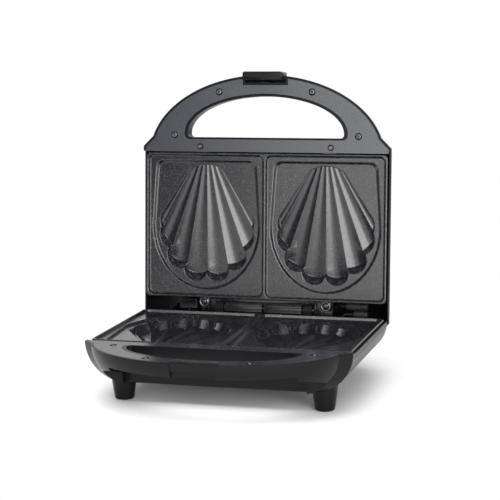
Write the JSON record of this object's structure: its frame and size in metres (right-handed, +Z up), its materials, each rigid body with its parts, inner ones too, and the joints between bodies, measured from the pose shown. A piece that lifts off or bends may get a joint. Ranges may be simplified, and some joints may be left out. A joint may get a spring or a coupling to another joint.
{
  "type": "sandwich maker",
  "caption": "Countertop sandwich maker with a hinged lid, shell-shaped moulds in its cast plates, arched grip handles and a snap latch.",
  "frame": {"origin": "on the table, under the middle of the open machine's bounding box", "axes": "+X to the right along the hinge, +Y to the back, +Z up; the lid is stored open"},
  "size_m": [0.234, 0.257, 0.2734],
  "materials": {
    "housing_plastic": "dark grey moulded plastic, satin gloss",
    "panel_plastic": "dark grey moulded plastic, glossy",
    "latch_plastic": "black moulded plastic, glossy",
    "plate_coating": "grey speckled non-stick coating on a cast aluminium plate",
    "steel": "plain steel",
    "black_screw": "black oxide steel",
    "sheet": "bright pressed sheet",
    "heater": "steel-sheathed heating tube",
    "ceramic": "glazed ceramic",
    "sleeve": "dark woven heat-proof sleeve",
    "wire": "dark silicone wire insulation",
    "bush": "black rubber",
    "pad": "soft black rubber",
    "lens_red": "clear red plastic",
    "lens_green": "clear green plastic",
    "bulb": "clear glass"
  },
  "bodies": {
    "base": {"base_housing": "housing_plastic", "base_plate": "plate_coating", "base_handle_panel": "panel_plastic", "base_handle_screws": "black_screw", "base_plate_screws": "steel", "base_element": "heater", "base_element_clamps": "steel", "base_reflector": "sheet", "base_thermostat": "ceramic", "base_thermal_fuse": "steel", "terminal_block": "ceramic", "cord_bush": "bush", "base_wires": "wire", "hinge_pin": "steel", "foot_pad_front_right": "pad", "foot_pad_front_left": "pad", "foot_pad_rear_right": "pad", "foot_pad_rear_left": "pad"},
    "lid": {"lid_housing": "housing_plastic", "lid_plate": "plate_coating", "lid_handle_panel": "panel_plastic", "lid_handle_screws": "black_screw", "lid_panel_pegs": "black_screw", "lid_plate_screws": "black_screw", "lid_element": "heater", "lid_element_clamps": "steel", "lid_reflector": "sheet", "lid_thermostat": "ceramic", "lid_terminal_sleeves": "sleeve", "lid_wires": "wire", "hinge_saddle": "panel_plastic", "power_lamp_lens": "lens_red", "ready_lamp_lens": "lens_green", "power_lamp": "bulb", "ready_lamp": "bulb", "latch_pin": "steel", "latch_spring": "steel"},
    "latch": {"latch_clip": "latch_plastic"}
  },
  "joints": [
    {"name": "lid_hinge", "type": "hinge", "parent": "base", "child": "lid", "pos_m": [0, 0.084, 0.0567], "axis": [1, 0, 0], "range_deg": [0, 94.66]},
    {"name": "latch_pivot", "type": "hinge", "parent": "lid", "child": "latch", "pos_m": [0, 0.10339, 0.26622], "axis": [-1, 0, 0], "range_deg": [0, 18], "stiffness_Nm_per_rad": 0.05, "springref_deg": -5.73}
  ]
}
